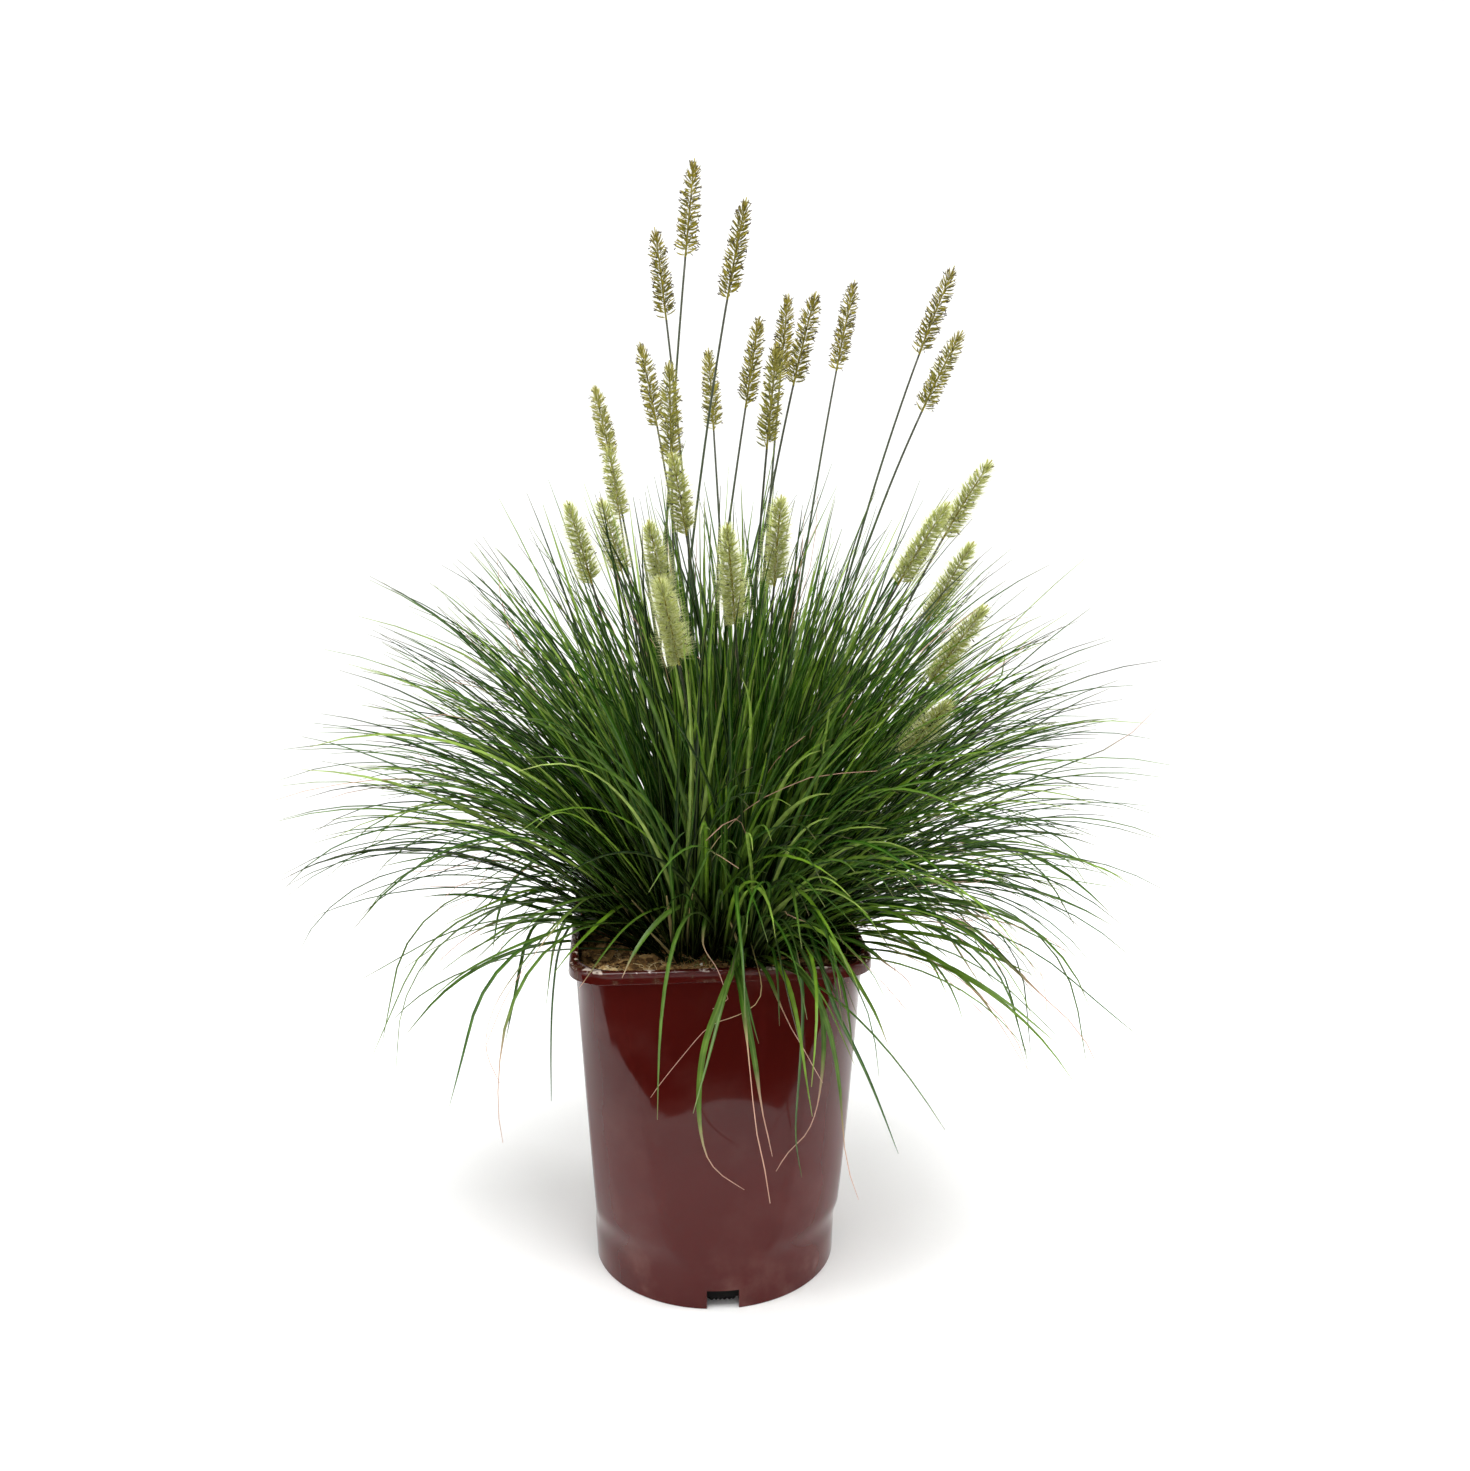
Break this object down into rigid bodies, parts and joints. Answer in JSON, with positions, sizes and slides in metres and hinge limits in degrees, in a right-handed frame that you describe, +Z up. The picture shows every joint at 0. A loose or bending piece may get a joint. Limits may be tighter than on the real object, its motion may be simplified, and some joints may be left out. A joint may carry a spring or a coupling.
{
  "type": "potted fountain grass",
  "caption": "Clump of fountain grass with arching narrow leaves and bottlebrush flower heads, growing in potting mix in a glossy square-topped nursery pot with a round foot.",
  "frame": {"origin": "on the floor at the pot's vertical axis, which is also the middle of the plant's outline seen from above", "axes": "+Z up, -Y the side of the pot seen in the picture, +X to its right"},
  "size_m": [0.5713, 0.556, 0.7614],
  "materials": {
    "pot_plastic": "glossy dark red polypropylene, scuffed and dusty in places",
    "potting_mix": "dark fibrous potting mix with bark and root fibre",
    "leaf": "narrow green grass leaves, satin, some tips dry",
    "flower": "pale yellow-green spikelets with fine bristles"
  },
  "bodies": {
    "root": {"pot": "pot_plastic", "potting_mix": "potting_mix", "shoot_01": "leaf", "flower_head_01": "flower", "shoot_02": "leaf", "flower_head_02": "flower", "shoot_03": "leaf", "flower_head_03": "flower", "shoot_04": "leaf", "flower_head_04": "flower", "shoot_05": "leaf", "flower_head_05": "flower", "shoot_06": "leaf", "flower_head_06": "flower", "shoot_07": "leaf", "flower_head_07": "flower", "shoot_08": "leaf", "flower_head_08": "flower", "shoot_09": "leaf", "flower_head_09": "flower", "shoot_10": "leaf", "flower_head_10": "flower", "shoot_11": "leaf", "flower_head_11": "flower", "shoot_12": "leaf", "flower_head_12": "flower", "shoot_13": "leaf", "flower_head_13": "flower", "shoot_14": "leaf", "flower_head_14": "flower", "shoot_15": "leaf", "flower_head_15": "flower", "shoot_16": "leaf", "flower_head_16": "flower", "shoot_17": "leaf", "flower_head_17": "flower", "shoot_18": "leaf", "flower_head_18": "flower", "shoot_19": "leaf", "flower_head_19": "flower", "shoot_20": "leaf", "flower_head_20": "flower", "shoot_21": "leaf", "flower_head_21": "flower", "shoot_22": "leaf", "flower_head_22": "flower", "shoot_23": "leaf", "flower_head_23": "flower", "shoot_24": "leaf", "flower_head_24": "flower", "shoot_25": "leaf", "flower_head_25": "flower", "shoot_26": "leaf", "flower_head_26": "flower", "shoot_27": "leaf", "flower_head_27": "flower"}
  },
  "joints": []
}
